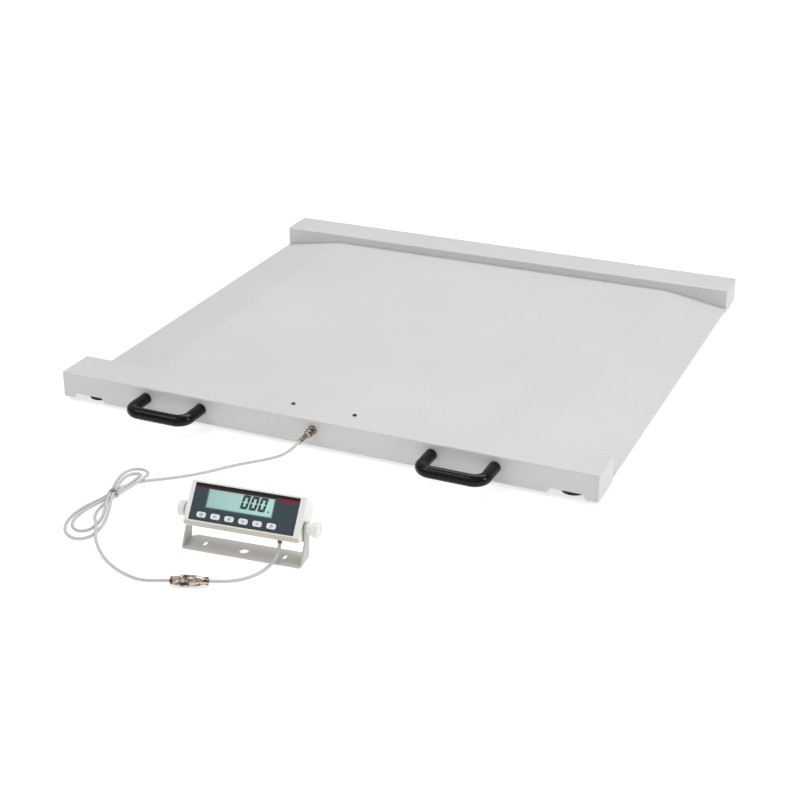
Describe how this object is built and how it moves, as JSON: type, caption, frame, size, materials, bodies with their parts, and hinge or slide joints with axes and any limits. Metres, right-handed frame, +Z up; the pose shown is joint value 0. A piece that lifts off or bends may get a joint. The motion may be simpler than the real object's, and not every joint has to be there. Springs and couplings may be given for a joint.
{
  "type": "platform shipping scale",
  "caption": "Low-profile ramped floor scale with hollow side curbs, lifting handles, load cell feet and a tilting digital display on a bracket joined by a cable.",
  "frame": {"origin": "on the floor, in the middle of the footprint of the platform and its display", "axes": "+X from the left ramp to the right ramp, +Y from the display towards the rear curb, +Z up"},
  "size_m": [0.952, 1.3839, 0.0908],
  "materials": {
    "deck_paint": "smooth light grey powder coat",
    "curb_paint": "smooth light grey powder coat",
    "under_paint": "light grey powder coat, matt underneath",
    "cell_aluminium": "milled",
    "zinc_steel": "zinc plated",
    "foot_rubber": "matt black",
    "box_plastic": "textured grey",
    "board_green": "solder mask",
    "cable_grey": "light grey jacket",
    "tie_nylon": "natural nylon",
    "nickel": "nickel plated",
    "handle_black": "gloss black",
    "screw_dark": "blackened",
    "wheel_grey": "dark grey tread on a nylon hub",
    "bracket_paint": "warm light grey powder coat",
    "case_plastic": "off-white moulded",
    "face_dark": "dark blue-grey printed film",
    "lcd_glass": "pale aqua liquid-crystal window",
    "mat_rubber": "silicone",
    "battery_wrap": "shrink wrap",
    "key_white": "satin white",
    "knob_cream": "cream moulded",
    "bush_black": "black"
  },
  "bodies": {
    "root": {"deck_plate": "deck_paint", "front_curb": "curb_paint", "rear_curb": "curb_paint", "curb_ends": "curb_paint", "deck_ribs": "under_paint", "cell_spacers": "zinc_steel", "cell_fasteners": "zinc_steel", "junction_box": "box_plastic", "junction_lid": "box_plastic", "junction_board": "board_green", "junction_screws": "screw_dark", "cell_leads": "cable_grey", "gland_body": "nickel", "gland_nut": "nickel", "handle_left": "handle_black", "handle_right": "handle_black", "handle_screws": "zinc_steel", "wheel_brackets": "under_paint", "wheel_axles": "zinc_steel", "display_bracket": "bracket_paint", "platform_cable": "cable_grey", "cable_hank": "cable_grey", "connector_cable": "cable_grey", "display_cable": "cable_grey", "cable_tie": "tie_nylon", "connector_plug": "nickel", "connector_socket": "nickel", "load_cell_front_left": "cell_aluminium", "load_cell_front_right": "cell_aluminium", "load_cell_rear_left": "cell_aluminium", "load_cell_rear_right": "cell_aluminium"},
    "display": {"housing_front": "case_plastic", "housing_back": "case_plastic", "faceplate": "face_dark", "lcd_module": "lcd_glass", "main_board": "board_green", "key_mat": "mat_rubber", "battery_pack": "battery_wrap", "housing_screws": "zinc_steel", "display_gland": "bush_black", "pivot_bushes": "bush_black"},
    "coupling_ring": {"coupling_ring": "nickel"},
    "foot_pad_front_left": {"foot_pad_front_left": "foot_rubber"},
    "foot_pad_front_right": {"foot_pad_front_right": "foot_rubber"},
    "foot_pad_rear_left": {"foot_pad_rear_left": "foot_rubber"},
    "foot_pad_rear_right": {"foot_pad_rear_right": "foot_rubber"},
    "foot_stem_front_left": {"foot_stem_front_left": "zinc_steel"},
    "foot_stem_front_right": {"foot_stem_front_right": "zinc_steel"},
    "foot_stem_rear_left": {"foot_stem_rear_left": "zinc_steel"},
    "foot_stem_rear_right": {"foot_stem_rear_right": "zinc_steel"},
    "key_1": {"key_1": "key_white"},
    "key_2": {"key_2": "key_white"},
    "key_3": {"key_3": "key_white"},
    "key_4": {"key_4": "key_white"},
    "key_5": {"key_5": "key_white"},
    "key_6": {"key_6": "key_white"},
    "knob_left": {"knob_left": "knob_cream"},
    "knob_right": {"knob_right": "knob_cream"},
    "wheel_left": {"wheel_left": "wheel_grey"},
    "wheel_right": {"wheel_right": "wheel_grey"}
  },
  "joints": [
    {"name": "wheel_left_spin", "type": "hinge", "parent": "root", "child": "wheel_left", "pos_m": [-0.25, 0.62, 0.024], "axis": [1, 0, 0], "continuous": true},
    {"name": "wheel_right_spin", "type": "hinge", "parent": "root", "child": "wheel_right", "pos_m": [0.25, 0.62, 0.024], "axis": [1, 0, 0], "continuous": true},
    {"name": "foot_front_left_height", "type": "slide", "parent": "root", "child": "foot_pad_front_left", "axis": [0, 0, 1], "range_m": [-0.006, 0]},
    {"name": "foot_front_left_turn", "type": "hinge", "parent": "foot_pad_front_left", "child": "foot_stem_front_left", "pos_m": [-0.426, -0.247, 0.006], "axis": [0, 0, 1], "range_deg": [-1240, 0]},
    {"name": "foot_front_right_height", "type": "slide", "parent": "root", "child": "foot_pad_front_right", "axis": [0, 0, 1], "range_m": [-0.006, 0]},
    {"name": "foot_front_right_turn", "type": "hinge", "parent": "foot_pad_front_right", "child": "foot_stem_front_right", "pos_m": [0.426, -0.247, 0.006], "axis": [0, 0, 1], "range_deg": [-1240, 0]},
    {"name": "foot_rear_left_height", "type": "slide", "parent": "root", "child": "foot_pad_rear_left", "axis": [0, 0, 1], "range_m": [-0.006, 0]},
    {"name": "foot_rear_left_turn", "type": "hinge", "parent": "foot_pad_rear_left", "child": "foot_stem_rear_left", "pos_m": [-0.426, 0.591, 0.006], "axis": [0, 0, 1], "range_deg": [-1240, 0]},
    {"name": "foot_rear_right_height", "type": "slide", "parent": "root", "child": "foot_pad_rear_right", "axis": [0, 0, 1], "range_m": [-0.006, 0]},
    {"name": "foot_rear_right_turn", "type": "hinge", "parent": "foot_pad_rear_right", "child": "foot_stem_rear_right", "pos_m": [0.426, 0.591, 0.006], "axis": [0, 0, 1], "range_deg": [-1240, 0]},
    {"name": "display_tilt", "type": "hinge", "parent": "root", "child": "display", "pos_m": [0.05703, -0.60384, 0.05], "axis": [0.9954, 0.0958, 0], "range_deg": [-50, 55]},
    {"name": "knob_left_turn", "type": "hinge", "parent": "display", "child": "knob_left", "pos_m": [0.05703, -0.60384, 0.05], "axis": [0.9954, 0.0958, 0], "range_deg": [0, 720]},
    {"name": "knob_right_turn", "type": "hinge", "parent": "display", "child": "knob_right", "pos_m": [0.05703, -0.60384, 0.05], "axis": [0.9954, 0.0958, 0], "range_deg": [0, 720]},
    {"name": "key_1_press", "type": "slide", "parent": "display", "child": "key_1", "axis": [-0.0742, 0.7703, -0.6334], "range_m": [0, 0.0005], "stiffness_N_per_m": 1500},
    {"name": "key_2_press", "type": "slide", "parent": "display", "child": "key_2", "axis": [-0.0742, 0.7703, -0.6334], "range_m": [0, 0.0005], "stiffness_N_per_m": 1500},
    {"name": "key_3_press", "type": "slide", "parent": "display", "child": "key_3", "axis": [-0.0742, 0.7703, -0.6334], "range_m": [0, 0.0005], "stiffness_N_per_m": 1500},
    {"name": "key_4_press", "type": "slide", "parent": "display", "child": "key_4", "axis": [-0.0742, 0.7703, -0.6334], "range_m": [0, 0.0005], "stiffness_N_per_m": 1500},
    {"name": "key_5_press", "type": "slide", "parent": "display", "child": "key_5", "axis": [-0.0742, 0.7703, -0.6334], "range_m": [0, 0.0005], "stiffness_N_per_m": 1500},
    {"name": "key_6_press", "type": "slide", "parent": "display", "child": "key_6", "axis": [-0.0742, 0.7703, -0.6334], "range_m": [0, 0.0005], "stiffness_N_per_m": 1500},
    {"name": "coupling_ring_turn", "type": "hinge", "parent": "root", "child": "coupling_ring", "pos_m": [0.02608, -0.72561, 0.0084], "axis": [0.9291, 0.3697, 0], "range_deg": [0, 360]}
  ],
  "couplings": [
    {"joint": "foot_front_left_turn", "follows": "foot_front_left_height", "rad_per_m": 3590.4},
    {"joint": "foot_front_right_turn", "follows": "foot_front_right_height", "rad_per_m": 3590.4},
    {"joint": "foot_rear_left_turn", "follows": "foot_rear_left_height", "rad_per_m": 3590.4},
    {"joint": "foot_rear_right_turn", "follows": "foot_rear_right_height", "rad_per_m": 3590.4}
  ]
}
